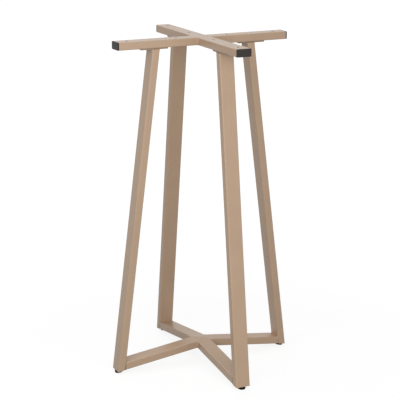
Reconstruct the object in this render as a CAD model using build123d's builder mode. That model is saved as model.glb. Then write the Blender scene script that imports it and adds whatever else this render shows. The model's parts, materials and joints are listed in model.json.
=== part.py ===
"""Bar table base of welded rectangular tube.

A flat cross carries the table top, four legs lean in under it, and a lower cross ties the
feet together with bars that rise to the centre. Millimetres, +Z up. The origin is on the
floor at the centre of the base. The through bar of the top cross runs along Y, and the front
of the base faces -Y. What repeats is described once, for the side that faces +X, and turned.
"""

import os
from math import asin, cos, degrees, radians, sin, sqrt

from build123d import *

# Overall form
overall_height = 1100.0
top_span = 600.0  # across the top cross, from cap face to cap face
foot_span = 627.0  # across opposite legs, at their lower outer edges
foot_clearance = 9.5  # floor to the lower outer edge of a leg
leg_lean = 7.1  # degrees from upright
bar_slope = 7.5  # degrees from level, rising to the centre

# Tube of the bars and legs
tube_width = 50.0
tube_depth = 25.0
tube_wall = 2.0
tube_corner = 3.0
least_bore_corner = 0.5

# Screw holes for the table top, each over an access hole in the lower wall
table_hole_diameter = 8.0
access_hole_diameter = 12.0
inner_hole_radius = 90.0
outer_hole_inset = 40.0  # from the cap faces

# Plates on the leg heads, and the fasteners that hold them under the top cross
plate_length = 92.0
plate_width = 44.0
plate_thickness = 4.0
plate_corner = 3.0
plate_shift = 3.5  # outward, from the middle of the leg head
plate_hole_pitch = 70.0
plate_hole_diameter = 6.6
screw_diameter = 6.0
screw_length = 14.0
screw_head_diameter = 10.5
screw_head_height = 3.3
screw_head_round = 1.5
screw_socket = 4.0  # across flats
screw_socket_depth = 2.0
nut_body_diameter = 9.0
nut_length = 12.0
nut_bulge_diameter = 12.5
nut_bulge_height = 3.0
fastener_clearance = 0.05  # all round a screw in its nut, and a nut in its hole

# Plastic end caps of the top cross
cap_flange = 4.5
cap_chamfer = 0.8
cap_plug_length = 20.0
cap_plug_wall = 2.0
cap_rib_height = 1.2
cap_rib_thickness = 1.5
cap_rib_pitch = 5.0
cap_rib_count = 3
cap_clearance = 0.1  # between a rib and the tube

# Closed leg ends and their push-in glides
end_plate_thickness = 3.0
glide_diameter = 26.0
glide_shift = 2.0  # outward, from the middle of the leg end
glide_dome_radius = 40.0
glide_flat_depth = 0.3  # how far the dome is flattened on the floor
glide_edge_round = 1.0
glide_stem_diameter = 8.0
glide_barb_diameter = 9.2
glide_stem_length = 14.0  # above the leg end
glide_tip_diameter = 6.0
stem_clearance = 0.1

# Weld fillets
cross_weld_leg = 4.0
plate_weld_leg = 3.0

# Angles of the four sides, from +X
sides = {"right": 0, "back": 90, "left": 180, "front": 270}

# Worked-out sizes of the tube's bore and of the levels
bore_width = tube_width - 2 * tube_wall
bore_depth = tube_depth - 2 * tube_wall
bore_corner = max(tube_corner - tube_wall, least_bore_corner)
flat_width = tube_width - 2 * tube_corner
flat_depth = tube_depth - 2 * tube_corner
arm_bottom = overall_height - tube_depth
plate_bottom = arm_bottom - plate_thickness
arm_end = top_span / 2 - cap_flange
outer_hole_radius = top_span / 2 - outer_hole_inset
reach = overall_height + foot_span  # longer than any bar or leg, which is then cut to length

# Directions and planes of a leg and its bottom bar, on the side that faces +X
lean = radians(leg_lean)
slope = radians(bar_slope)
heel = Vector(foot_span / 2, 0, foot_clearance)
leg_up = Vector(-sin(lean), 0, cos(lean))
leg_out = Vector(cos(lean), 0, sin(lean))
bar_in = Vector(-cos(slope), 0, sin(slope))
bar_up = Vector(sin(slope), 0, cos(slope))
across = (0, 1, 0)
leg_section = Plane(heel - leg_out * (tube_depth / 2), x_dir=across, z_dir=leg_up)
leg_inner_face = Plane(heel - leg_out * tube_depth, x_dir=across, z_dir=leg_out)
bar_section = Plane(heel + bar_up * (tube_depth / 2), x_dir=across, z_dir=bar_in)
underside = Plane(heel, x_dir=across, z_dir=bar_up)
arm_section = Plane((0, 0, overall_height - tube_depth / 2), x_dir=across, z_dir=(1, 0, 0))
leg_head = Plane.XY.offset(plate_bottom)


def facing(side, plane):
    """Turn a plane from the side that faces +X to another side of the base."""
    return Plane(Rot(0, 0, sides[side]) * plane.location)


def along(start, direction, plane):
    """Point where a line from start meets a plane."""
    run = (plane.origin - start).dot(plane.z_dir) / direction.dot(plane.z_dir)
    return start + direction * run


def save(builder, name):
    """Label a finished piece and write it to its own file."""
    builder.part.label = name
    export_step(builder.part, f"parts/{name}.step")


# Points that pieces share
leg_head_centre = along(leg_section.origin, leg_up, leg_head)
glide_seat = along(leg_section.origin, leg_up, underside) - bar_in * glide_shift
plate_centre = leg_head_centre.X + plate_shift
plate_hole_radii = (plate_centre - plate_hole_pitch / 2, plate_centre + plate_hole_pitch / 2)

os.makedirs("parts", exist_ok=True)

# Sketches shared by several pieces
with BuildSketch() as tube_outline:
    RectangleRounded(tube_width, tube_depth, tube_corner)

with BuildSketch() as bore_outline:
    RectangleRounded(bore_width, bore_depth, bore_corner)

with BuildSketch() as tube_profile:
    add(tube_outline.sketch)
    add(bore_outline.sketch, mode=Mode.SUBTRACT)

with BuildSketch(Plane.XY.offset(overall_height)) as table_holes:
    for radius in (inner_hole_radius, outer_hole_radius):
        with PolarLocations(radius, len(sides)):
            Circle(table_hole_diameter / 2)

with BuildSketch(Plane.XY.offset(arm_bottom)) as access_holes:
    for radius in (inner_hole_radius, outer_hole_radius):
        with PolarLocations(radius, len(sides)):
            Circle(access_hole_diameter / 2)

with BuildSketch(Plane.XY.offset(arm_bottom)) as nut_holes:
    for radius in plate_hole_radii:
        with PolarLocations(radius, len(sides)):
            Circle(nut_body_diameter / 2 + fastener_clearance)

# Top cross: the through bar
with BuildPart() as top_bar_long:
    with BuildSketch(facing("back", arm_section)):
        add(tube_profile.sketch)
    extrude(amount=arm_end, both=True)
    extrude(table_holes.sketch, amount=-tube_wall, mode=Mode.SUBTRACT)
    extrude(access_holes.sketch, amount=tube_wall, mode=Mode.SUBTRACT)
    extrude(nut_holes.sketch, amount=tube_wall, mode=Mode.SUBTRACT)
save(top_bar_long, "top_bar_long")

# Top cross: the half bars, coped to the rounded side of the through bar
for side in ("left", "right"):
    with BuildPart() as top_bar_half:
        with BuildSketch(facing(side, arm_section)):
            add(tube_profile.sketch)
        extrude(amount=arm_end)
        with BuildSketch(facing("back", arm_section)):
            add(tube_outline.sketch)
        extrude(amount=arm_end, both=True, mode=Mode.SUBTRACT)
        extrude(table_holes.sketch, amount=-tube_wall, mode=Mode.SUBTRACT)
        extrude(access_holes.sketch, amount=tube_wall, mode=Mode.SUBTRACT)
        extrude(nut_holes.sketch, amount=tube_wall, mode=Mode.SUBTRACT)
    save(top_bar_half, f"top_bar_{side}")

# Top cross: end caps, a chamfered flange on a hollow ribbed plug
cap_plane = arm_section.offset(arm_end)
for side in sides:
    cap_seat = facing(side, cap_plane)
    with BuildPart() as end_cap:
        with BuildSketch(cap_seat):
            add(tube_outline.sketch)
        extrude(amount=cap_flange)
        chamfer(end_cap.faces().sort_by(Axis(cap_seat.origin, cap_seat.z_dir))[-1].edges(), cap_chamfer)
        with BuildSketch(cap_seat):
            Rectangle(bore_width - 2 * cap_rib_height, bore_depth - 2 * cap_rib_height)
        extrude(amount=-cap_plug_length)
        for rib in range(1, cap_rib_count + 1):
            with BuildSketch(cap_seat.offset(-rib * cap_rib_pitch)):
                RectangleRounded(bore_width - 2 * cap_clearance, bore_depth - 2 * cap_clearance, bore_corner)
            extrude(amount=-cap_rib_thickness)
        with BuildSketch(cap_seat):
            hollow_margin = 2 * (cap_rib_height + cap_plug_wall)
            Rectangle(bore_width - hollow_margin, bore_depth - hollow_margin)
        extrude(amount=-cap_plug_length, mode=Mode.SUBTRACT)
    save(end_cap, f"end_cap_{side}")

# Legs, cut level at the head and in line with the bottom bar at the foot
for side in sides:
    with BuildPart() as leg:
        with BuildSketch(facing(side, leg_section)):
            add(tube_profile.sketch)
        extrude(amount=reach, both=True)
        split(bisect_by=facing(side, underside), keep=Keep.TOP)
        split(bisect_by=leg_head, keep=Keep.BOTTOM)
    save(leg, f"leg_{side}")

# Leg plates, welded on the leg heads and screwed up under the top cross
for side in sides:
    with BuildPart() as leg_plate:
        with BuildSketch(facing(side, leg_head)):
            with Locations((plate_centre, 0)):
                RectangleRounded(plate_length, plate_width, plate_corner)
            with Locations([(radius, 0) for radius in plate_hole_radii]):
                Circle(plate_hole_diameter / 2, mode=Mode.SUBTRACT)
        extrude(amount=plate_thickness)
    save(leg_plate, f"leg_plate_{side}")

# Bottom bars, square against the leg at one end and mitred to a point at the centre
for side in sides:
    with BuildPart() as bottom_bar:
        with BuildSketch(facing(side, bar_section)):
            add(tube_profile.sketch)
        extrude(amount=reach, both=True)
        split(bisect_by=facing(side, leg_inner_face), keep=Keep.BOTTOM)
        for hand in (1, -1):
            mitre = Plane((0, 0, 0), x_dir=(0, 0, 1), z_dir=(1, hand, 0))
            split(bisect_by=facing(side, mitre), keep=Keep.TOP)
    save(bottom_bar, f"bottom_bar_{side}")

# Plates that close the leg ends and hold the glides
for side in sides:
    with BuildPart() as leg_end_plate:
        with BuildSketch(facing(side, leg_section)):
            add(bore_outline.sketch)
        extrude(amount=reach, both=True)
        split(bisect_by=facing(side, underside), keep=Keep.TOP)
        split(bisect_by=facing(side, underside.offset(end_plate_thickness)), keep=Keep.BOTTOM)
        with BuildSketch(facing(side, Plane(glide_seat, x_dir=across, z_dir=bar_up))):
            Circle(glide_stem_diameter / 2 + stem_clearance)
        extrude(amount=end_plate_thickness, mode=Mode.SUBTRACT)
    save(leg_end_plate, f"leg_end_plate_{side}")

# Glides: a shallow dome on a disc, flattened where it stands, with a barbed stem
glide_radius = glide_diameter / 2
dome_centre = (glide_dome_radius - glide_flat_depth - glide_seat.Z) / cos(slope)
dome_rim = dome_centre - sqrt(glide_dome_radius**2 - glide_radius**2)
dome_angle = degrees(asin(glide_radius / glide_dome_radius))
glide_plane = Plane(glide_seat, x_dir=-bar_in, z_dir=(0, -1, 0))
for side in sides:
    turned_plane = facing(side, glide_plane)
    with BuildPart() as glide:
        with BuildSketch(turned_plane):
            with BuildLine():
                CenterArc((0, dome_centre), glide_dome_radius, -90, dome_angle)
                Polyline(
                    (glide_radius, dome_rim),
                    (glide_radius, 0),
                    (glide_stem_diameter / 2, 0),
                    (glide_stem_diameter / 2, end_plate_thickness),
                    (glide_barb_diameter / 2, end_plate_thickness),
                    (glide_tip_diameter / 2, glide_stem_length),
                    (0, glide_stem_length),
                    (0, dome_centre - glide_dome_radius),
                )
            make_face()
        glide_axis = Axis(turned_plane.origin, turned_plane.y_dir)
        revolve(axis=glide_axis)
        circles = glide.edges().filter_by(GeomType.CIRCLE)
        rims = circles.filter_by(lambda edge: abs(edge.radius - glide_radius) < glide_edge_round / 10)
        fillet(rims.sort_by(glide_axis)[0], glide_edge_round)
        split(bisect_by=Plane.XY, keep=Keep.TOP)
    save(glide, f"glide_{side}")

# Button-head screws through the leg plates, heads down
with BuildPart() as plate_screws:
    for side in sides:
        for radius in plate_hole_radii:
            screw_plane = facing(side, Plane((radius, 0, plate_bottom)))
            with BuildSketch(screw_plane):
                Circle(screw_diameter / 2)
            extrude(amount=screw_length)
            with BuildSketch(screw_plane):
                Circle(screw_head_diameter / 2)
            extrude(amount=-screw_head_height)
    head_rims = plate_screws.edges().filter_by(GeomType.CIRCLE).group_by(Axis.Z)[0]
    fillet(head_rims, screw_head_round)
    for side in sides:
        for radius in plate_hole_radii:
            with BuildSketch(facing(side, Plane((radius, 0, plate_bottom - screw_head_height)))):
                RegularPolygon(screw_socket / 2, 6, major_radius=False)
            extrude(amount=screw_socket_depth, mode=Mode.SUBTRACT)
save(plate_screws, "plate_screws")

# Rivet nuts, flush with the lower wall of the top cross and bulged inside it
with BuildPart() as rivet_nuts:
    for side in sides:
        for radius in plate_hole_radii:
            with BuildSketch(facing(side, Plane((radius, 0, arm_bottom)))):
                Circle(nut_body_diameter / 2)
            extrude(amount=nut_length)
            with BuildSketch(facing(side, Plane((radius, 0, arm_bottom + tube_wall)))):
                Circle(nut_bulge_diameter / 2)
            extrude(amount=nut_bulge_height)
            with BuildSketch(facing(side, Plane((radius, 0, arm_bottom)))):
                Circle(screw_diameter / 2 + fastener_clearance)
            extrude(amount=nut_length, mode=Mode.SUBTRACT)
save(rivet_nuts, "rivet_nuts")

# Weld fillets in the upright inner corners of the two crosses
bar_foot = along(heel, bar_in, Plane.YZ.offset(tube_width / 2)).Z
cross_welds = {
    "top_cross_welds": (arm_bottom + tube_corner, flat_depth),
    "bottom_cross_welds": (bar_foot + tube_corner, flat_depth),
}
corner = tube_width / 2
for name, (level, height) in cross_welds.items():
    with BuildPart() as welds:
        for side in sides:
            with BuildSketch(facing(side, Plane.XY.offset(level))):
                with BuildLine():
                    Polyline(
                        (corner, corner),
                        (corner + cross_weld_leg, corner),
                        (corner, corner + cross_weld_leg),
                        close=True,
                    )
                make_face()
            extrude(amount=height)
    save(welds, name)

# Weld fillets between the leg plates and the broad faces of the legs
outer_edge = along(heel, leg_up, leg_head)
inner_edge = along(leg_inner_face.origin, leg_up, leg_head)
with BuildPart() as leg_plate_welds:
    for side in sides:
        for edge, outward in ((outer_edge, 1), (inner_edge, -1)):
            toe = edge - leg_up * plate_weld_leg
            with BuildSketch(facing(side, Plane.XZ)):
                with BuildLine():
                    Polyline(
                        (edge.X, edge.Z),
                        (edge.X + outward * plate_weld_leg, edge.Z),
                        (toe.X, toe.Z),
                        close=True,
                    )
                make_face()
            extrude(amount=flat_width / 2, both=True)
save(leg_plate_welds, "leg_plate_welds")
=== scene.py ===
"""Bar table base: powder-coated tube frame with weld beads, plastic caps and glides, on a studio floor."""

import json
from math import atan2, cos, degrees, pi, radians, sin

import bmesh
import bpy
from bpy.props import FloatProperty, FloatVectorProperty, IntProperty, PointerProperty
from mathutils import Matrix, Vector


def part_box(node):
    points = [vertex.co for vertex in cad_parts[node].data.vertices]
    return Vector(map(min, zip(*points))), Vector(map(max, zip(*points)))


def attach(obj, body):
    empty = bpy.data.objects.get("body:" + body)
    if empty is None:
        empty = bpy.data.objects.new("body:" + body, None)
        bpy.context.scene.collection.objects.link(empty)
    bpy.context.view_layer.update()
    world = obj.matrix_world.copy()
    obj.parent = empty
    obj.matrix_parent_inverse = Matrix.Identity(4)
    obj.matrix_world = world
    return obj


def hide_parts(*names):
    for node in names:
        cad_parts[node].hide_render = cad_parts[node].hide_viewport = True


bl_info = {
    "name": "Bar Table Base",
    "version": (1, 0, 0),
    "blender": (4, 5, 0),
    "location": "View3D > Sidebar > Bar Base",
    "description": "Finishes a tube-framed bar table base, welds its joints and sets it on a studio floor",
    "category": "Object",
}

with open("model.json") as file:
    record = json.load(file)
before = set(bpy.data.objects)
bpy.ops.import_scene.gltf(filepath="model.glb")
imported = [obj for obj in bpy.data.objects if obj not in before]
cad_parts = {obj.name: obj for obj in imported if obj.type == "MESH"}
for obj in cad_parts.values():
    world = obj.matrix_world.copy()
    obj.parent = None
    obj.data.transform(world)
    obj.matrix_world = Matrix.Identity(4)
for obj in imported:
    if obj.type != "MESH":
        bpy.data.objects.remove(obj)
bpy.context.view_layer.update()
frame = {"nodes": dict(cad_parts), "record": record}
MILLIMETRE = 0.001
WHITE = (1.0, 1.0, 1.0, 1.0)

# Fixed values of the finishes
CLOUD_SPAN = (0.3, 0.7)  # holds nearly all of a noise pattern
SEAM_FADE = (0.25, 0.75)  # shares of a seam's width between which its painted shade ends
EDGE_SHARE = 0.48  # share of a plate's thickness, above and below its middle, that is its edge
HOLE_MARGIN = 0.0001  # how far past the wall of a screw hole its painted shade reaches

# Fixed values of the weld beads
BEAD_SET_BACK = 0.75  # from a bead's corner back to the centre of its round, in fillet legs
BEAD_TAPER = 1.5  # length of a bead's tapered ends, in fillet legs
BEAD_END_SHARE = 0.62  # share of its radius that a bead keeps at its very ends
BEAD_SINK = 0.00005  # how deep the flats of a bead lie in the walls
BEAD_SMOOTH_ANGLE = radians(50.0)
RIPPLE_STEPS = ((0.2, 0.15), (0.3, 0.0), (0.3, 0.15), (0.2, 1.0))  # share of the pitch, depth of the valley
LEAD_REACH = 30.0  # degrees to each side of a bead's middle in which its ripples are led

# Fixed values of the stage
SENSOR_WIDTH = 36.0  # millimetres
FAR_LIMIT = 100.0
FLOOR_WIDTH = 60.0
FLOOR_PALE = (0.92, 0.92, 0.92)  # color of the floor where it shows the shadow
FLOOR_WHITE = 1.04  # strength of the white that covers the rest of the floor
SHADOW_RADII = (0.6, 1.6)  # distances from the axis between which the shadow fades out


# Settings


def color_setting(name, description, default):
    """A color that a user may change."""
    return FloatVectorProperty(
        name=name, description=description, subtype="COLOR", size=3, min=0.0, max=1.0, default=default
    )


def factor_setting(name, description, default):
    """A share from nothing to all."""
    return FloatProperty(
        name=name, description=description, subtype="FACTOR", min=0.0, max=1.0, default=default
    )


def length_setting(name, description, default):
    """A length in metres."""
    return FloatProperty(
        name=name, description=description, subtype="DISTANCE", unit="LENGTH", default=default
    )


def angle_setting(name, description, default):
    """An angle, given in degrees and kept in radians."""
    return FloatProperty(
        name=name, description=description, subtype="ANGLE", unit="ROTATION", default=radians(default)
    )


class CoatSettings(bpy.types.PropertyGroup):
    """Powder coat of the tubes, plates and welds"""

    color: color_setting("Coat color", "Color of the coat under neutral light", (0.455, 0.316, 0.213))
    roughness: factor_setting("Coat roughness", "Mean roughness of the powder coat", 0.32)
    gloss: factor_setting("Coat gloss", "Specular level of the powder coat", 0.39)
    grain: length_setting("Grain size", "Width of one grain of the coat's fine texture", 0.0011)
    grain_depth: length_setting("Grain depth", "How far the fine texture stands out", 0.00003)
    cloud: length_setting("Cloud size", "Width of the faint clouds in the coat's tone", 0.09)
    drift: factor_setting("Tone drift", "How far the clouds lighten and darken the coat", 0.025)
    # The next three settings darken the coat as painted shade: in the seams at the feet, on the edges of the
    # leg plates and on the walls of the screw holes.
    shade_lightness: factor_setting("Thin coat", "Share of its lightness that a thin coat keeps", 0.3)
    seam: length_setting("Seam width", "Width of the thin coat where a bottom bar meets its leg", 0.002)
    edge: factor_setting("Plate edges", "How far the coat on the edges of the leg plates is thin", 0.6)


class PlasticSettings(bpy.types.PropertyGroup):
    """Moulded caps and glides"""

    cap_color: color_setting("Cap color", "Color of the caps on the bar ends", (0.029, 0.0235, 0.021))
    cap_roughness: factor_setting("Cap roughness", "Mean roughness of the moulded caps", 0.5)
    cap_gloss: factor_setting("Cap gloss", "Specular level of the moulded caps", 0.2)
    # Painted shade: how dark the sides of the caps are made.
    cap_side_shade: factor_setting("Cap sides", "Share of its lightness that the side of a cap keeps", 0.3)
    cap_chamfer: length_setting("Cap chamfer", "Depth of the chamfer round the face of a cap", 0.0008)
    glide_color: color_setting("Glide color", "Color of the glides under the legs", (0.004, 0.004, 0.004))
    glide_roughness: factor_setting("Glide roughness", "Mean roughness of the glides", 0.42)
    glide_gloss: factor_setting("Glide gloss", "Specular level of the glides", 0.08)
    scuff_height: length_setting("Scuff height", "How far up from the floor the glides are scuffed", 0.0025)


class FastenerSettings(bpy.types.PropertyGroup):
    """Zinc-plated screws and rivet nuts"""

    color: color_setting("Zinc color", "Color of the zinc plate", (0.62, 0.63, 0.62))
    roughness: factor_setting("Zinc roughness", "Mean roughness of the zinc plate", 0.34)


class WeldSettings(bpy.types.PropertyGroup):
    """Rippled fillet beads"""

    cross_leg: length_setting("Cross bead leg", "Leg of the fillets in the corners of the crosses", 0.004)
    plate_leg: length_setting("Plate bead leg", "Leg of the fillets under the leg plates", 0.003)
    plate_length: length_setting("Plate bead length", "Length of each fillet under a leg plate", 0.044)
    leg_lean: angle_setting("Leg lean", "Lean of the legs, which opens or closes the fillets", 7.1)
    leg_depth: length_setting("Leg depth", "Depth of the leg tubes between their two fillets", 0.025)
    ripple: length_setting("Ripple pitch", "From one ripple of a bead to the next", 0.0022)
    ripple_depth: length_setting("Ripple depth", "How far the ripples stand out", 0.0002)
    lead: length_setting("Ripple lead", "How far the middle of a ripple runs ahead of its sides", 0.0009)
    sides: IntProperty(name="Sides", description="Sides of the round a bead is cut from", min=24, default=48)


class StageSettings(bpy.types.PropertyGroup):
    """Camera, lamps and floor"""

    azimuth: angle_setting("Azimuth", "Direction of the camera round the base, from the front", -25.70)
    elevation: angle_setting("Elevation", "Angle of the camera above the level of its aim", 14.877)
    roll: angle_setting("Roll", "Tilt of the camera about its own line of sight", 0.08)
    distance: length_setting("Distance", "From the camera to the point it looks at", 4.688)
    aim_height: length_setting("Aim height", "Height of the point that the camera looks at", 0.5558)
    aim_right: length_setting("Aim to the right", "How far right of the axis the camera looks", -0.0035)
    lens: FloatProperty(name="Lens", description="Focal length in millimetres", default=127.64)
    front_azimuth: angle_setting("Front azimuth", "Direction of the front lamp, from the front", -5.0)
    front_elevation: angle_setting("Front elevation", "Angle of the front lamp above its aim", 12.0)
    front_light: factor_setting("Front light", "Light of the front lamp on a face turned to it", 0.57)
    side_azimuth: angle_setting("Side azimuth", "Direction of the side lamp, from the front", -55.0)
    side_elevation: angle_setting("Side elevation", "Angle of the side lamp above its aim", 20.0)
    side_light: factor_setting("Side light", "Light of the side lamp on a face turned to it", 0.49)
    back_azimuth: angle_setting("Back azimuth", "Direction of the back lamp, from the front", 180.0)
    back_elevation: angle_setting("Back elevation", "Angle of the back lamp above its aim", 60.0)
    back_light: factor_setting("Back light", "Light of the back lamp on a face turned to it", 0.41)
    lamp_size: length_setting("Lamp size", "Width of each square lamp, which softens its shadows", 2.4)
    lamp_distance: length_setting("Lamp distance", "From each lamp to the point it is turned to", 3.0)
    lamp_aim: length_setting("Lamp aim", "Height of the point that the lamps are turned to", 0.7)
    sky_light: factor_setting("Sky light", "Even light from all round", 0.285)
    bounce: factor_setting("Floor bounce", "How much light the floor throws back on the base", 0.2)
    shadow: factor_setting("Shadow", "How strongly the shadow shows on the white floor", 0.15)


# Finishes


def new_finish(name):
    """A material, its node tree, its shader and the coordinates that its patterns read."""
    material = bpy.data.materials.new(name)
    material.use_nodes = True
    tree = material.node_tree
    place = tree.nodes.new("ShaderNodeTexCoord").outputs["Object"]
    return material, tree, tree.nodes["Principled BSDF"], place


def noise(tree, place, scale, detail):
    """A noise pattern from 0 to 1, with its scale read from a socket."""
    node = tree.nodes.new("ShaderNodeTexNoise")
    node.inputs["Detail"].default_value = detail
    tree.links.new(place, node.inputs["Vector"])
    tree.links.new(scale, node.inputs["Scale"])
    return node.outputs["Fac"]


def spread(tree, value, low, high, to_low, to_high):
    """Map a span of a pattern to a span of values."""
    node = tree.nodes.new("ShaderNodeMapRange")
    tree.links.new(value, node.inputs["Value"])
    spans = {"From Min": low, "From Max": high, "To Min": to_low, "To Max": to_high}
    for socket, number in spans.items():
        node.inputs[socket].default_value = number
    return node.outputs["Result"]


def blend_color(tree, share, first, second):
    """Mix two colors by a pattern. Each color is three numbers or a socket."""
    node = tree.nodes.new("ShaderNodeMix")
    node.data_type = "RGBA"
    tree.links.new(share, node.inputs["Factor"])
    sockets = [s for s in node.inputs if s.type == "RGBA"]
    for socket, color in zip(sockets, (first, second)):
        if isinstance(color, bpy.types.NodeSocket):
            tree.links.new(color, socket)
        else:
            socket.default_value = (*color, 1.0)
    return next(s for s in node.outputs if s.type == "RGBA")


def work_out(tree, operation, *values):
    """One step of arithmetic on sockets and numbers."""
    node = tree.nodes.new("ShaderNodeMath")
    node.operation = operation
    for socket, value in zip(node.inputs, values):
        if isinstance(value, float):
            socket.default_value = value
        else:
            tree.links.new(value, socket)
    return node.outputs["Value"]


def roughen(tree, shader, cloud, mean, less, more):
    """Let the roughness follow the clouds, from less than its mean to more."""
    rough = spread(tree, cloud, *CLOUD_SPAN, mean - less, mean + more)
    tree.links.new(rough, shader.inputs["Roughness"])


def emboss(tree, shader, height, distance, strength):
    """Let a height pattern stand out on the surface."""
    bump = tree.nodes.new("ShaderNodeBump")
    bump.inputs["Distance"].default_value = distance
    bump.inputs["Strength"].default_value = strength
    tree.links.new(height, bump.inputs["Height"])
    tree.links.new(bump.outputs["Normal"], shader.inputs["Normal"])


def shade(color, times):
    """A color made lighter or darker."""
    return tuple(min(channel * times, 1.0) for channel in color)


def cloud_tone(tree, cloud, color, darkest, lightest):
    """A color that the clouds darken and lighten."""
    return blend_color(tree, cloud, shade(color, darkest), shade(color, lightest))


def grain_group():
    """Shared texture of coats and mouldings: broad clouds, and grains with their height."""
    group = bpy.data.node_groups.get("fine_grain")
    if group:
        return group
    group = bpy.data.node_groups.new("fine_grain", "ShaderNodeTree")
    sockets = group.interface
    sockets.new_socket("Place", in_out="INPUT", socket_type="NodeSocketVector")
    sockets.new_socket("Grain scale", in_out="INPUT", socket_type="NodeSocketFloat")
    sockets.new_socket("Cloud scale", in_out="INPUT", socket_type="NodeSocketFloat")
    sockets.new_socket("Height", in_out="OUTPUT", socket_type="NodeSocketFloat")
    sockets.new_socket("Cloud", in_out="OUTPUT", socket_type="NodeSocketFloat")
    start = group.nodes.new("NodeGroupInput").outputs
    end = group.nodes.new("NodeGroupOutput").inputs
    grains = noise(group, start["Place"], start["Grain scale"], detail=2.0)
    clouds = noise(group, start["Place"], start["Cloud scale"], detail=3.0)
    group.links.new(grains, end["Height"])
    group.links.new(clouds, end["Cloud"])
    return group


def add_grain(tree, place, grain, cloud):
    """Place the shared texture, with the widths of its grains and clouds."""
    node = tree.nodes.new("ShaderNodeGroup")
    node.node_tree = grain_group()
    node.inputs["Grain scale"].default_value = 1.0 / grain
    node.inputs["Cloud scale"].default_value = 1.0 / cloud
    tree.links.new(place, node.inputs["Place"])
    return node.outputs["Height"], node.outputs["Cloud"]


def finish_nodes(material, slot):
    """Give every CAD node of a record slot a material."""
    for part in frame["record"]["subparts"]:
        if part["material_slot"] == slot:
            node = frame["nodes"][part["node"]]
            node.data.materials.clear()
            node.data.materials.append(material)


def split_place(tree, place):
    """The coordinates of a point, by the letters of their axes."""
    split = tree.nodes.new("ShaderNodeSeparateXYZ")
    tree.links.new(place, split.inputs["Vector"])
    return split.outputs


def off_planes(tree, split):
    """How far a point lies from each of the two upright planes along the bars."""
    return work_out(tree, "ABSOLUTE", split["X"]), work_out(tree, "ABSOLUTE", split["Y"])


def seam_shade(tree, out, level, coat, welds):
    """Painted shade: one in the groove between a bottom bar and its leg, fading upwards."""
    low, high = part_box("leg_right")
    reach = cos(welds.leg_lean)
    rise = sin(welds.leg_lean)
    inner_face = high[0] * reach + low[2] * rise - welds.leg_depth
    outward = work_out(tree, "MULTIPLY", out, reach)
    upward = work_out(tree, "MULTIPLY", level, rise)
    past_face = work_out(tree, "SUBTRACT", work_out(tree, "ADD", outward, upward), inner_face)
    gap = work_out(tree, "ABSOLUTE", past_face)
    fade_from, fade_to = (coat.seam * share for share in SEAM_FADE)
    near = spread(tree, gap, fade_from, fade_to, 1.0, 0.0)
    bar_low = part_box("bottom_bar_right")[0][2]
    fade = spread(tree, level, bar_low, bar_low + welds.leg_depth, 1.0, 0.0)
    return work_out(tree, "MULTIPLY", near, fade)


def plate_edge_shade(tree, level, coat):
    """The share of painted shade on the upright edges of the leg plates, which lie in the shadow of the bars
    above them.
    """
    low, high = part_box("leg_plate_right")
    middle = (low[2] + high[2]) / 2
    beside = work_out(tree, "COMPARE", level, middle, (high[2] - low[2]) * EDGE_SHARE)
    return work_out(tree, "MULTIPLY", beside, coat.edge)


def hole_wall_shade(tree, out, aside, level, mount):
    """Painted shade: one on the walls of the table-top screw holes that a mount of the record gives."""
    hole_circle = mount["dims"]["pcd_mm"] / 2 * MILLIMETRE
    just_past_wall = mount["dims"]["hole_r_mm"] * MILLIMETRE + HOLE_MARGIN
    along = work_out(tree, "SUBTRACT", out, hole_circle)
    square = work_out(tree, "MULTIPLY_ADD", along, along, work_out(tree, "MULTIPLY", aside, aside))
    within = work_out(tree, "LESS_THAN", square, just_past_wall**2)
    in_top_bars = work_out(tree, "GREATER_THAN", level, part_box("top_bar_long")[0][2])
    return work_out(tree, "MULTIPLY", within, in_top_bars)


def painted_shade(tree, place, coat, welds):
    """Painted shade, one where shade falls: in the seams at the feet, on the edges of the leg plates and on
    the walls of the screw holes.
    """
    split = split_place(tree, place)
    distances = off_planes(tree, split)
    out = work_out(tree, "MAXIMUM", *distances)
    aside = work_out(tree, "MINIMUM", *distances)
    level = split["Z"]
    masks = [seam_shade(tree, out, level, coat, welds), plate_edge_shade(tree, level, coat)]
    for mount in frame["record"]["mounts"]:
        if mount["kind"] == "bolt_pattern":
            masks.append(hole_wall_shade(tree, out, aside, level, mount))
    whole = masks[0]
    for mask in masks[1:]:
        whole = work_out(tree, "MAXIMUM", whole, mask)
    return whole


class BARBASE_OT_coat(bpy.types.Operator):
    """Powder-coat the tubes, plates and welds"""

    bl_idname = "barbase.coat"
    bl_label = "Powder-Coat the Frame"

    def execute(self, context):
        coat = context.scene.barbase_coat
        material, tree, shader, place = new_finish("sand_powder_coat")
        height, cloud = add_grain(tree, place, coat.grain, coat.cloud)
        drift = spread(tree, cloud, *CLOUD_SPAN, 0.0, 1.0)
        tone = cloud_tone(tree, drift, coat.color, 1.0 - coat.drift, 1.0 + coat.drift)
        # Painted shade in the seams at the feet, on the plate edges and in the screw holes.
        shade_share = painted_shade(tree, place, coat, context.scene.barbase_welds)
        color = blend_color(tree, shade_share, tone, shade(coat.color, coat.shade_lightness))
        tree.links.new(color, shader.inputs["Base Color"])
        roughen(tree, shader, cloud, coat.roughness, less=0.03, more=0.03)
        shader.inputs["Specular IOR Level"].default_value = coat.gloss
        emboss(tree, shader, height, coat.grain_depth, strength=0.7)
        finish_nodes(material, "powder_coat")
        return {"FINISHED"}


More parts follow.
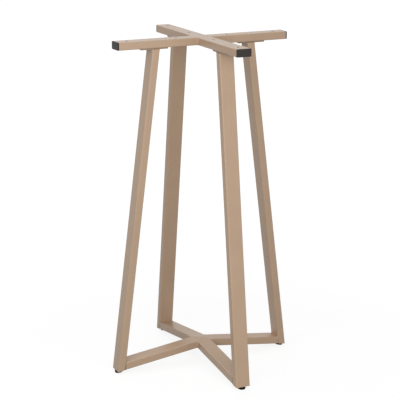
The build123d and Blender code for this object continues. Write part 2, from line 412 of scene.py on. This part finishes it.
class BARBASE_OT_caps(bpy.types.Operator):
    """Mould the caps in charcoal plastic, with painted shade on their sides"""

    bl_idname = "barbase.caps"
    bl_label = "Mould the End Caps"

    def execute(self, context):
        plastic = context.scene.barbase_plastic
        material, tree, shader, place = new_finish("charcoal_cap_plastic")
        height, cloud = add_grain(tree, place, grain=0.0006, cloud=0.02)
        tone = cloud_tone(tree, cloud, plastic.cap_color, darkest=0.9, lightest=1.1)
        out = work_out(tree, "MAXIMUM", *off_planes(tree, split_place(tree, place)))
        cap_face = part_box("end_cap_right")[1][0]
        # Painted shade on the sides of each cap, short of the chamfer round its face.
        shaded_side = work_out(tree, "LESS_THAN", out, cap_face - plastic.cap_chamfer)
        color = blend_color(tree, shaded_side, tone, shade(plastic.cap_color, plastic.cap_side_shade))
        tree.links.new(color, shader.inputs["Base Color"])
        roughen(tree, shader, cloud, plastic.cap_roughness, less=0.05, more=0.05)
        shader.inputs["Specular IOR Level"].default_value = plastic.cap_gloss
        emboss(tree, shader, height, distance=0.00002, strength=0.6)
        finish_nodes(material, "cap_plastic")
        return {"FINISHED"}


class BARBASE_OT_glides(bpy.types.Operator):
    """Mould the glides in black plastic, scuffed where they stand"""

    bl_idname = "barbase.glides"
    bl_label = "Mould the Glides"

    def execute(self, context):
        plastic = context.scene.barbase_plastic
        material, tree, shader, place = new_finish("black_glide_plastic")
        height, cloud = add_grain(tree, place, grain=0.0007, cloud=0.012)
        level = split_place(tree, place)["Z"]
        near_floor = spread(tree, level, 0.0, plastic.scuff_height, 1.0, 0.0)
        patches = spread(tree, cloud, 0.35, 0.65, 0.2, 1.0)
        scuff = work_out(tree, "MULTIPLY", near_floor, patches)
        worn = shade(plastic.glide_color, times=3.0)
        color = blend_color(tree, scuff, plastic.glide_color, worn)
        tree.links.new(color, shader.inputs["Base Color"])
        worn_roughness = plastic.glide_roughness + 0.3
        rough = spread(tree, scuff, 0.0, 1.0, plastic.glide_roughness, worn_roughness)
        tree.links.new(rough, shader.inputs["Roughness"])
        shader.inputs["Specular IOR Level"].default_value = plastic.glide_gloss
        emboss(tree, shader, height, distance=0.00003, strength=0.6)
        finish_nodes(material, "glide_plastic")
        return {"FINISHED"}


class BARBASE_OT_fasteners(bpy.types.Operator):
    """Zinc-plate the screws and rivet nuts"""

    bl_idname = "barbase.fasteners"
    bl_label = "Plate the Fasteners"

    def execute(self, context):
        zinc = context.scene.barbase_fasteners
        material, tree, shader, place = new_finish("bright_zinc_plate")
        height, cloud = add_grain(tree, place, grain=0.0004, cloud=0.006)
        tone = cloud_tone(tree, cloud, zinc.color, darkest=0.88, lightest=1.08)
        tree.links.new(tone, shader.inputs["Base Color"])
        shader.inputs["Metallic"].default_value = 1.0
        roughen(tree, shader, cloud, zinc.roughness, less=0.06, more=0.1)
        emboss(tree, shader, height, distance=0.00001, strength=0.5)
        finish_nodes(material, "zinc_steel")
        return {"FINISHED"}


# Weld beads


def fillet_bead(length, leg, angle, welds):
    """One rippled fillet along +Z from the origin, between the +X wall and a wall turned from it by angle."""
    middle = Vector((cos(angle / 2), sin(angle / 2), 0.0))
    axis = middle * (-BEAD_SET_BACK * leg)
    radius = (Vector((leg, 0.0, 0.0)) - axis).length
    bpy.ops.object.select_all(action="DESELECT")
    bpy.ops.mesh.primitive_circle_add(
        vertices=welds.sides, radius=radius, fill_type="NGON", location=axis
    )
    bead = bpy.context.object
    bpy.ops.object.transform_apply(location=True, rotation=False, scale=False)
    bpy.ops.object.mode_set(mode="EDIT")
    bpy.ops.mesh.select_all(action="SELECT")
    swell_rings(axis, radius, length, leg, welds)
    lead_ripples(bead, axis, middle, welds)
    for inward in (Vector((0.0, 1.0, 0.0)), Vector((sin(angle), -cos(angle), 0.0))):
        bpy.ops.mesh.select_all(action="SELECT")
        bpy.ops.mesh.bisect(
            plane_co=inward * -BEAD_SINK, plane_no=inward, use_fill=True, clear_inner=True
        )
    bpy.ops.mesh.select_all(action="SELECT")
    bpy.ops.mesh.normals_make_consistent(inside=False)
    bpy.ops.object.mode_set(mode="OBJECT")
    bpy.ops.object.shade_smooth_by_angle(angle=BEAD_SMOOTH_ANGLE)
    return bead


def swell_rings(axis, radius, length, leg, welds):
    """Extrude the bead ring by ring, with a valley after each ripple and a round taper at both ends."""
    ripples = max(round(length / welds.ripple), 3)
    pitch = length / ripples
    level = 0.0
    now = 1.0
    taper = min(BEAD_TAPER * leg, length / 3)
    steps = ((0.0, 1.0),) + RIPPLE_STEPS * ripples
    for share, valley in steps:
        level += pitch * share
        from_end = min(min(level, length - level) / taper, 1.0)
        swell = max(1.0 - (1.0 - from_end) ** 2, 0.0) ** 0.5
        body = BEAD_END_SHARE + (1.0 - BEAD_END_SHARE) * swell
        wanted = body - valley * welds.ripple_depth / radius
        if share:
            bpy.ops.mesh.extrude_region_move(TRANSFORM_OT_translate={"value": (0.0, 0.0, pitch * share)})
        ratio = wanted / now
        bpy.ops.transform.resize(value=(ratio, ratio, 1.0), center_override=(axis.x, axis.y, level))
        now = wanted


def lead_ripples(bead, axis, middle, welds):
    """Push the middle of every ripple ahead of its sides, as a torch leaves them."""
    step = 360.0 / welds.sides
    mesh = bmesh.from_edit_mesh(bead.data)
    facing = atan2(middle.y, middle.x)
    bands = int(LEAD_REACH / step)
    for band in range(-bands, bands + 1):
        bpy.ops.mesh.select_all(action="DESELECT")
        for vertex in mesh.verts:
            turn = degrees(atan2(vertex.co.y - axis.y, vertex.co.x - axis.x) - facing)
            vertex.select = abs((turn + 180.0) % 360.0 - 180.0 - band * step) < step / 2
        mesh.select_flush_mode()
        bmesh.update_edit_mesh(bead.data)
        ahead = welds.lead * (cos(pi / 2 * band * step / LEAD_REACH) - 0.5)
        bpy.ops.transform.translate(value=(0.0, 0.0, ahead))


def copy_round(bead, name, node):
    """Repeat a bead on all four sides, join the copies and put them in place of a CAD weld group."""
    copies = [bead]
    for quarter in (1, 2, 3):
        bpy.ops.object.select_all(action="DESELECT")
        bead.select_set(True)
        bpy.context.view_layer.objects.active = bead
        bpy.ops.object.duplicate(linked=False)
        copy = bpy.context.object
        copy.rotation_euler.z = quarter * pi / 2
        copies.append(copy)
    for copy in copies:
        copy.select_set(True)
    bpy.context.view_layer.objects.active = bead
    bpy.ops.object.transform_apply(location=True, rotation=True, scale=True)
    bpy.ops.object.join()
    bead.name = name
    bead.data.name = name
    bead.data.materials.append(bpy.data.materials["sand_powder_coat"])
    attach(bead, "root")
    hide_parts(node)


class BARBASE_OT_cross_welds(bpy.types.Operator):
    """Lay the upright beads in the corners of both crosses"""

    bl_idname = "barbase.cross_welds"
    bl_label = "Weld the Crosses"

    def execute(self, context):
        welds = context.scene.barbase_welds
        groups = {"top_cross_welds": "top_cross_beads", "bottom_cross_welds": "bottom_cross_beads"}
        for node, name in groups.items():
            low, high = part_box(node)
            bead = fillet_bead(high[2] - low[2], welds.cross_leg, pi / 2, welds)
            bead.location = (high[0] - welds.cross_leg, high[1] - welds.cross_leg, low[2])
            bpy.ops.object.transform_apply(location=True, rotation=True, scale=True)
            copy_round(bead, name, node)
        return {"FINISHED"}


class BARBASE_OT_plate_welds(bpy.types.Operator):
    """Lay the beads between the legs and the plates on top of them"""

    bl_idname = "barbase.plate_welds"
    bl_label = "Weld the Leg Plates"

    def execute(self, context):
        welds = context.scene.barbase_welds
        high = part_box("leg_plate_welds")[1]
        lean = welds.leg_lean
        outer = high[0] - welds.plate_leg
        inner = outer - welds.leg_depth / cos(lean)
        half = welds.plate_length / 2
        front = fillet_bead(2 * half, welds.plate_leg, pi / 2 - lean, welds)
        front.rotation_euler = (-pi / 2, 0.0, 0.0)
        front.location = (outer, -half, high[2])
        back = fillet_bead(2 * half, welds.plate_leg, pi / 2 + lean, welds)
        back.rotation_euler = (-pi / 2, 0.0, pi)
        back.location = (inner, half, high[2])
        front.select_set(True)
        bpy.ops.object.transform_apply(location=True, rotation=True, scale=True)
        bpy.ops.object.join()
        copy_round(back, "leg_plate_beads", "leg_plate_welds")
        return {"FINISHED"}


# Stage


def from_front(azimuth, elevation):
    """Unit vector towards a direction round the base."""
    return Vector((sin(azimuth) * cos(elevation), -cos(azimuth) * cos(elevation), sin(elevation)))


def place_camera(scene, stage):
    """Look at the base from the photograph's angle."""
    back = from_front(stage.azimuth, stage.elevation)
    right = Vector((cos(stage.azimuth), sin(stage.azimuth), 0.0))
    aim = right * stage.aim_right + Vector((0.0, 0.0, stage.aim_height))
    bpy.ops.object.camera_add(location=aim + back * stage.distance)
    camera = bpy.context.object
    camera.rotation_euler = (-back).to_track_quat("-Z", "Y").to_euler()
    camera.rotation_euler.rotate_axis("Z", stage.roll)
    camera.data.lens = stage.lens
    camera.data.sensor_width = SENSOR_WIDTH
    camera.data.clip_end = FAR_LIMIT
    scene.camera = camera


def seen_rays(tree):
    """One for rays that show the backdrop, straight or in a gloss, and nothing for rays that carry light."""
    rays = tree.nodes.new("ShaderNodeLightPath").outputs
    either = work_out(tree, "MAXIMUM", rays["Is Camera Ray"], rays["Is Glossy Ray"])
    return work_out(tree, "MAXIMUM", either, rays["Is Transmission Ray"])


def light_world(scene, stage):
    """White behind the base, and an even soft light round it."""
    world = bpy.data.worlds.new("studio")
    scene.world = world
    world.use_nodes = True
    tree = world.node_tree
    light = tree.nodes["Background"]
    light.inputs["Color"].default_value = WHITE
    light.inputs["Strength"].default_value = stage.sky_light
    white = tree.nodes.new("ShaderNodeBackground")
    white.inputs["Color"].default_value = WHITE
    white.inputs["Strength"].default_value = 1.0
    mix = tree.nodes.new("ShaderNodeMixShader")
    tree.links.new(seen_rays(tree), mix.inputs["Fac"])
    tree.links.new(light.outputs["Background"], mix.inputs[1])
    tree.links.new(white.outputs["Background"], mix.inputs[2])
    tree.links.new(mix.outputs["Shader"], tree.nodes["World Output"].inputs["Surface"])


def hang_lamp(name, azimuth, elevation, light, stage):
    """One broad soft lamp, set by the light that it gives a face turned to it."""
    towards = from_front(azimuth, elevation)
    aim = Vector((0.0, 0.0, stage.lamp_aim))
    bpy.ops.object.light_add(type="AREA", location=aim + towards * stage.lamp_distance)
    lamp = bpy.context.object
    lamp.name = name
    lamp.rotation_euler = towards.to_track_quat("Z", "Y").to_euler()
    lamp.data.size = stage.lamp_size
    lamp.data.energy = light * (pi * stage.lamp_distance) ** 2


def lay_floor(stage):
    """A wide pale floor that keeps a soft shadow under the base and looks white all round."""
    bpy.ops.object.select_all(action="DESELECT")
    bpy.ops.mesh.primitive_plane_add(size=FLOOR_WIDTH)
    floor = bpy.context.object
    floor.name = "floor"
    material = bpy.data.materials.new("pale_floor")
    material.use_nodes = True
    material.cycles.emission_sampling = "NONE"
    tree = material.node_tree
    tree.nodes.remove(tree.nodes["Principled BSDF"])
    seen = seen_rays(tree)
    paint = tree.nodes.new("ShaderNodeBsdfDiffuse")
    bounce = (stage.bounce,) * 3
    tree.links.new(blend_color(tree, seen, bounce, FLOOR_PALE), paint.inputs["Color"])
    white = tree.nodes.new("ShaderNodeEmission")
    white.inputs["Strength"].default_value = FLOOR_WHITE
    radius = tree.nodes.new("ShaderNodeVectorMath")
    radius.operation = "LENGTH"
    place = tree.nodes.new("ShaderNodeTexCoord").outputs["Object"]
    tree.links.new(place, radius.inputs[0])
    around = spread(tree, radius.outputs["Value"], *SHADOW_RADII, 1.0 - stage.shadow, 1.0)
    mix = tree.nodes.new("ShaderNodeMixShader")
    tree.links.new(work_out(tree, "MULTIPLY", seen, around), mix.inputs["Fac"])
    tree.links.new(paint.outputs["BSDF"], mix.inputs[1])
    tree.links.new(white.outputs["Emission"], mix.inputs[2])
    tree.links.new(mix.outputs["Shader"], tree.nodes["Material Output"].inputs["Surface"])
    floor.data.materials.append(material)


class BARBASE_OT_stage(bpy.types.Operator):
    """Lay the floor, hang the lamps and place the camera"""

    bl_idname = "barbase.stage"
    bl_label = "Set the Stage"

    def execute(self, context):
        stage = context.scene.barbase_stage
        place_camera(context.scene, stage)
        light_world(context.scene, stage)
        hang_lamp("front_lamp", stage.front_azimuth, stage.front_elevation, stage.front_light, stage)
        hang_lamp("side_lamp", stage.side_azimuth, stage.side_elevation, stage.side_light, stage)
        hang_lamp("back_lamp", stage.back_azimuth, stage.back_elevation, stage.back_light, stage)
        lay_floor(stage)
        context.scene.view_settings.view_transform = "Standard"
        return {"FINISHED"}


# Panel and registration


class BARBASE_PT_panel(bpy.types.Panel):
    """Steps that dress the bar table base"""

    bl_label = "Bar Base"
    bl_idname = "BARBASE_PT_panel"
    bl_space_type = "VIEW_3D"
    bl_region_type = "UI"
    bl_category = "Bar Base"

    def draw(self, context):
        for operator in OPERATORS:
            self.layout.operator(operator.bl_idname)


SETTINGS = {
    "barbase_coat": CoatSettings,
    "barbase_plastic": PlasticSettings,
    "barbase_fasteners": FastenerSettings,
    "barbase_welds": WeldSettings,
    "barbase_stage": StageSettings,
}
OPERATORS = (
    BARBASE_OT_coat,
    BARBASE_OT_caps,
    BARBASE_OT_glides,
    BARBASE_OT_fasteners,
    BARBASE_OT_cross_welds,
    BARBASE_OT_plate_welds,
    BARBASE_OT_stage,
)


def register():
    for cls in (*SETTINGS.values(), *OPERATORS, BARBASE_PT_panel):
        bpy.utils.register_class(cls)
    for name, cls in SETTINGS.items():
        setattr(bpy.types.Scene, name, PointerProperty(type=cls))


def unregister():
    for name in SETTINGS:
        delattr(bpy.types.Scene, name)
    for cls in (BARBASE_PT_panel, *reversed(OPERATORS), *reversed(SETTINGS.values())):
        bpy.utils.unregister_class(cls)


def main():
    register()
    bpy.ops.barbase.coat()
    bpy.ops.barbase.caps()
    bpy.ops.barbase.glides()
    bpy.ops.barbase.fasteners()
    bpy.ops.barbase.cross_welds()
    bpy.ops.barbase.plate_welds()
    bpy.ops.barbase.stage()


if __name__ == "__main__":
    main()
